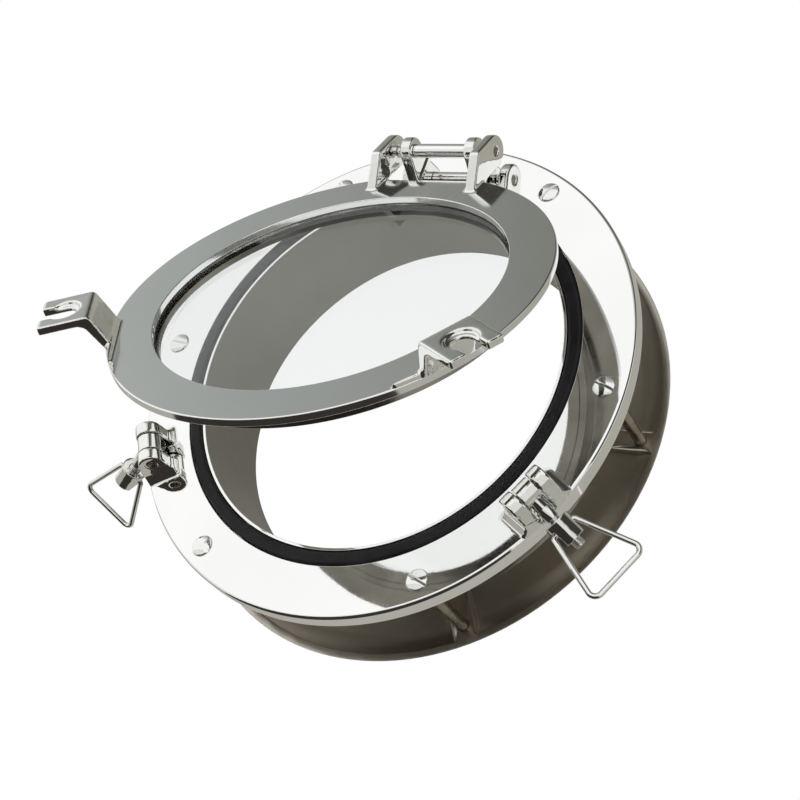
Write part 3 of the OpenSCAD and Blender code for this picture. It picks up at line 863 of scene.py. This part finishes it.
def makePins():
    s = hingeLook
    acrossHinge = Matrix.Translation(hingeAt) @ Matrix.Rotation(math.radians(-90), 4, "Z")
    pin = rod("hingePin", s["pinR"], s["pinHalf"], s["pinDome"], "shadedPinSteel", acrossHinge)
    paint(pin, "castSteel", "shadedPinSteel")
    # the hinge pin's ends, in the ears' holes, take the dark pin steel as painted shade
    shadedEndFrom = s["shadedEndFrom"] * mm
    paintWhere(pin, 1, lambda c: abs(c.x) > shadedEndFrom)
    seat(pin, "frame", "polished_steel", "hinge_pin")
    half = s["spacerHalf"]
    corners = [
        (s["spacerIn"], -half, s["edge"]), (s["spacerOut"], -half, s["edge"]),
        (s["spacerOut"], half, s["edge"]), (s["spacerIn"], half, s["edge"]),
    ]
    spacer = revolved("hingeSpacer", corners, "mirrorSteel", acrossHinge, s["steps"])
    seat(spacer, "frame", "polished_steel", "hinge_spacer")
    for side in clampClock:
        at, axis = jointPlace("bolt_swing_" + side)
        place = Matrix.Translation(at) @ axis.to_track_quat("Y", "Z").to_matrix().to_4x4()
        c = clampPin
        # the clevis pins take the dark pin steel, painted shade in their holes
        clevisPin = rod("clevisPin." + side, c["radius"], c["half"], c["edge"], "shadedPinSteel", place)
        seat(clevisPin, "frame", "polished_steel", "clevis_pin_" + side)


makePins()
print("pins and spacer made")

# cover
coverLook = dict(
    sightR=88.2, coverR=111, front=-14.1, back=-10.1,
    collarR=97, collarIn=93.3, collarEnd=0.9, lip=3.5,
    rim=0.8, edge=0.4, seatEdge=0.1, steps=320,
    flatHalf=26.8, flatFrom=106.2, flatTo=130, flatOver=1, backGap=0.1,
)
earBox = dict(half=38, front=-46, back=-10.12, low=89, high=136, sink=(0, 0.03, 0))
forkBox = dict(inner=100.5, outer=141, front=-36, back=-12.4, half=33, sink=(-0.03, 0.03, 0))


def makeCover():
    s = coverLook
    seatAt = s["front"] + s["lip"]
    corners = [
        (s["sightR"], s["front"], s["edge"]), (s["coverR"], s["front"], s["rim"]),
        (s["coverR"], s["back"], s["edge"]), (s["collarR"], s["back"], s["edge"]),
        (s["collarR"], s["collarEnd"], s["edge"]), (s["collarIn"], s["collarEnd"], s["edge"]),
        (s["collarIn"], seatAt, s["seatEdge"]), (s["sightR"], seatAt, s["edge"]),
    ]
    ring = revolved("coverRing", corners, "coverSteel", inPlace, s["steps"])
    half = s["flatHalf"] * mm
    low = [-half, (s["front"] - s["flatOver"]) * mm, s["flatFrom"] * mm]
    high = [half, (s["back"] + s["flatOver"]) * mm, s["flatTo"] * mm]
    cutter = boxMaker(low, high, inPlace)
    cutWith(ring, cutter, "DIFFERENCE")
    ring = evaluated(ring, "coverRing")
    bpy.data.objects.remove(cutter)
    # the cover's faces towards the flange take the darker back steel, partly their own finish and partly
    # painted shade
    paint(ring, "coverSteel", "shadedBackSteel")
    shadedBackFrom = (s["back"] - s["backGap"]) * mm
    paintWhere(ring, 1, lambda c: c.y > shadedBackFrom)
    ring.data.transform(openPlace)
    seat(ring, "cover", "polished_steel", "cover_ring")
    b = earBox
    low = (-b["half"], b["front"], b["low"])
    high = (b["half"], b["back"], b["high"])
    ears = castDetail("cover_ring", "coverEars", castings, low, high, openPlace, b["sink"])
    paint(ears, "castSteel")
    seat(ears, "cover", "polished_steel")
    for side, angle in clampClock.items():
        b = forkBox
        low = (b["inner"], b["front"], -b["half"])
        high = (b["outer"], b["back"], b["half"])
        place = openPlace @ clockPlace(angle)
        fork = castDetail("cover_ring", "fork." + side, castings, low, high, place, b["sink"])
        paint(fork, "castSteel")
        seat(fork, "cover", "polished_steel")


makeCover()
paint(frame["nodes"]["glass_pane"], "glass")
paint(frame["nodes"]["glass_seal"], "sealant")
# the glass retainer takes the same darker back steel, with its painted shade
paint(frame["nodes"]["glass_retainer"], "shadedBackSteel")
print("cover cast and glazed")

# clamps
clampLook = dict(
    shankR=3.5, shankFrom=10, shankEdge=0.3, steps=48,
    threadR=3.0, pitch=1.0, coreDrop=0.62, threadFrom=16.3, chamfer=0.6, chamferEdge=0.1, runIn=0.4,
    boltL=34, point=0.8, pointEdge=0.5, eyeEnd=15.5, eyeHalf=8,
    eye=dict(voxel=0.00020, passes=5), nut=dict(voxel=0.00025, passes=5),
)
bailLook = dict(
    wireR=1.35, length=34, width=36, tipAt=3.6, cornerAt=6.85, bendNear=2.05, bendFar=3.55,
    sides=28, cornerSteps=12,
)


def makeClamp(side):
    s = clampLook
    pinAt, pinAxis = jointPlace("bolt_swing_" + side)
    nutAxis = jointPlace("nut_turn_" + side)[1]
    boltPlace = frameFrom(pinAt, nutAxis, -pinAxis)
    half = s["eyeHalf"]
    low = (-half, -half, -half)
    high = (s["eyeEnd"], half, half)
    eye = castDetail("swing_bolt_" + side, "boltEye." + side, s["eye"], low, high, boltPlace)
    paint(eye, "castSteel")
    core = s["threadR"] - s["coreDrop"]
    corners = [
        (0, s["shankFrom"], 0), (s["shankR"], s["shankFrom"], 0),
        (s["shankR"], s["threadFrom"], s["shankEdge"]),
        (core, s["threadFrom"] + s["chamfer"], s["chamferEdge"]),
        (core, s["boltL"], s["pointEdge"]), (0, s["boltL"], 0),
    ]
    along = boltPlace @ Matrix.Rotation(math.radians(-90), 4, "Z")
    shank = revolved(
        "boltShank." + side, corners, "castSteel", along, s["steps"], pathRadius=solidPath,
    )
    start = s["threadFrom"] + s["runIn"]
    end = s["boltL"] - s["point"]
    thread = threadAlong(
        "boltThread." + side, s["threadR"], s["pitch"], start, end, "castSteel", boltPlace,
    )
    bolt = joined("swingBolt." + side, eye, shank, thread)
    seat(bolt, "bolt_" + side, "polished_steel", "swing_bolt_" + side)
    nut = castDetail("clamp_nut_" + side, "clampNut." + side, s["nut"])
    paint(nut, "castSteel")
    seat(nut, "nut_" + side, "polished_steel", "clamp_nut_" + side)
    makeBail(side, nutAxis)


def makeBail(side, nutAxis):
    s = bailLook
    pivotAt, pivotAxis = jointPlace("handle_swing_" + side)
    low, high = joints["handle_swing_" + side]["range_deg"]
    # straight out along the nut is half-way between the swing's limits
    tilt = Matrix.Rotation(math.radians(-(low + high) / 2), 4, "Z")
    half = s["width"] / 2 - s["wireR"]
    points = [
        (0, 0, s["tipAt"]), (0, 0, s["cornerAt"]), (s["length"], 0, half),
        (s["length"], 0, -half), (0, 0, -s["cornerAt"]), (0, 0, -s["tipAt"]),
    ]
    easings = [0, s["bendNear"], s["bendFar"], s["bendFar"], s["bendNear"], 0]
    maker = newObject("bailMaker", lineMesh("bail." + side, points, easings, False))
    useTree(
        maker, wireTree, wireRadius=s["wireR"] * mm, sides=s["sides"], cornerSteps=s["cornerSteps"],
        finish=finish["castSteel"],
    )
    bail = evaluated(maker, "bail." + side, frameFrom(pivotAt, nutAxis, pivotAxis) @ tilt)
    outward(bail.data)
    seat(bail, "handle_" + side, "polished_steel", "bail_handle_" + side)


for side in clampClock:
    makeClamp(side)
print("clamps made")

# studio
studio = dict(
    floorZ=-1.2, floorSize=60.0, floorColour=(0.86, 0.86, 0.85), floorRough=0.7, strength=1.0,
    tent=[
        (0.57, (1.0, 1.0, 1.0)), (0.70, (0.45, 0.465, 0.46)), (0.77, (0.375, 0.39, 0.38)),
        (0.90, (0.215, 0.22, 0.20)), (0.97, (0.05, 0.05, 0.045)),
    ],
    behind=(0.40, 0.39, 0.345), behindFrom=0.05, behindTo=0.35,
    flag=(0.05, 0.047, 0.042), flagTowards=(0.927, -0.375, 0.0), flagFrom=0.895, flagTo=0.94,
    lowCard=dict(z=-0.415, half=(7.0, 3.7), centre=(0.0, 3.5), colour=(0.42, 0.41, 0.37)),
    darkCard=dict(z=-0.405, half=(0.45, 0.38), centre=(0.0, -0.2), colour=(0.035, 0.030, 0.027)),
)


def makeWorld():
    # a light tent: white at the sides, falling to dark overhead and to a warm grey behind
    world = bpy.data.worlds.new("studio")
    scene.world = world
    world.use_nodes = True
    tree = world.node_tree
    tree.nodes.clear()
    link = tree.links.new
    output = addNode(tree, "ShaderNodeOutputWorld", (900, 0))
    coordinate = addNode(tree, "ShaderNodeTexCoord", (-800, 0))
    split = addNode(tree, "ShaderNodeSeparateXYZ", (-600, 0))
    link(coordinate.outputs["Generated"], split.inputs[0])
    tent = addNode(tree, "ShaderNodeValToRGB", (-400, 100))
    stops = studio["tent"]
    ramp = tent.color_ramp
    while len(ramp.elements) < len(stops):
        ramp.elements.new(0.5)
    for element, (position, colour) in zip(ramp.elements, stops):
        element.position = position
        element.color = (*colour, 1)
    link(split.outputs[2], tent.inputs[0])
    back = ranged(
        tree, split.outputs[1], 0, 1, (-400, -200), studio["behindFrom"], studio["behindTo"],
    )
    sky = addNode(tree, "ShaderNodeMix", (0, 0), data_type="RGBA")
    sky.inputs[7].default_value = (*studio["behind"], 1)
    link(back, sky.inputs["Factor"])
    link(tent.outputs[0], sky.inputs[6])
    # a dark flag stands upright at one side
    level = addNode(tree, "ShaderNodeVectorMath", (-800, -450), operation="MULTIPLY")
    level.inputs[1].default_value = (1, 1, 0)
    link(coordinate.outputs["Generated"], level.inputs[0])
    heading = addNode(tree, "ShaderNodeVectorMath", (-600, -450), operation="NORMALIZE")
    link(level.outputs["Vector"], heading.inputs[0])
    towards = addNode(tree, "ShaderNodeVectorMath", (-400, -450), operation="DOT_PRODUCT")
    towards.inputs[1].default_value = studio["flagTowards"]
    link(heading.outputs["Vector"], towards.inputs[0])
    flagged = ranged(
        tree, towards.outputs["Value"], 0, 1, (-200, -450), studio["flagFrom"], studio["flagTo"],
    )
    shaded = addNode(tree, "ShaderNodeMix", (100, -200), data_type="RGBA")
    shaded.inputs[7].default_value = (*studio["flag"], 1)
    link(flagged, shaded.inputs["Factor"])
    link(sky.outputs[2], shaded.inputs[6])
    # reflections see the tent; the camera, the glass and soft light see plain white
    lit = addNode(tree, "ShaderNodeBackground", (300, 100), Strength=studio["strength"])
    link(shaded.outputs[2], lit.inputs["Color"])
    seen = addNode(tree, "ShaderNodeBackground", (200, -100), Strength=1.0)
    seen.inputs["Color"].default_value = (1, 1, 1, 1)
    path = addNode(tree, "ShaderNodeLightPath", (0, 400))
    through = addNode(tree, "ShaderNodeMath", (200, 400), operation="MAXIMUM")
    link(path.outputs["Is Camera Ray"], through.inputs[0])
    link(path.outputs["Is Transmission Ray"], through.inputs[1])
    plain = addNode(tree, "ShaderNodeMath", (400, 400), operation="MAXIMUM")
    link(through.outputs[0], plain.inputs[0])
    link(path.outputs["Is Diffuse Ray"], plain.inputs[1])
    mix = addNode(tree, "ShaderNodeMixShader", (600, 0))
    link(plain.outputs[0], mix.inputs[0])
    link(lit.outputs[0], mix.inputs[1])
    link(seen.outputs[0], mix.inputs[2])
    link(mix.outputs[0], output.inputs[0])


def stageSheet(name, centre, half, z, material):
    # a level sheet that isn't part of the object
    mesh = bpy.data.meshes.new(name)
    corners = [(-1, -1), (1, -1), (1, 1), (-1, 1)]
    points = [(centre[0] + x * half[0], centre[1] + y * half[1], z) for x, y in corners]
    mesh.from_pydata(points, [], [(0, 1, 2, 3)])
    sheet = newObject(name, mesh)
    mesh.materials.append(material)
    return sheet


def makeFloor():
    half = studio["floorSize"] / 2
    material, tree, shader = blankMaterial("paleFloor")
    shader.inputs["Base Color"].default_value = (*studio["floorColour"], 1)
    shader.inputs["Roughness"].default_value = studio["floorRough"]
    stageSheet("floor", (0, 0), (half, half), studio["floorZ"], material)


def makeCard(name, card):
    # a card that is seen only in reflections
    material, tree, shader = blankMaterial(name)
    shader.inputs["Base Color"].default_value = (0, 0, 0, 1)
    shader.inputs["Specular IOR Level"].default_value = 0
    shader.inputs["Emission Color"].default_value = (*card["colour"], 1)
    shader.inputs["Emission Strength"].default_value = 1
    sheet = stageSheet(name, card["centre"], card["half"], card["z"], material)
    sheet.visible_camera = False
    sheet.visible_diffuse = False
    sheet.visible_transmission = False
    sheet.visible_shadow = False


cameraView = dict(
    place=(0.4509, -0.6480, -0.3335), forward=(-0.5174, 0.7669, 0.3797), roll=19.8,
    lens=75.7, sensor=36, near=0.01,
)


def makeCamera():
    data = bpy.data.cameras.new("camera")
    data.lens = cameraView["lens"]
    data.sensor_width = cameraView["sensor"]
    data.clip_start = cameraView["near"]
    camera = bpy.data.objects.new("camera", data)
    scene.collection.objects.link(camera)
    camera.location = cameraView["place"]
    camera.rotation_mode = "QUATERNION"
    aim = Vector(cameraView["forward"]).to_track_quat("-Z", "Y")
    camera.rotation_quaternion = aim @ Quaternion((0, 0, 1), math.radians(cameraView["roll"]))
    scene.camera = camera


makeWorld()
makeFloor()
makeCard("lowCard", studio["lowCard"])
makeCard("darkCard", studio["darkCard"])
makeCamera()
scene.view_settings.view_transform = "Standard"
print("studio and camera set")
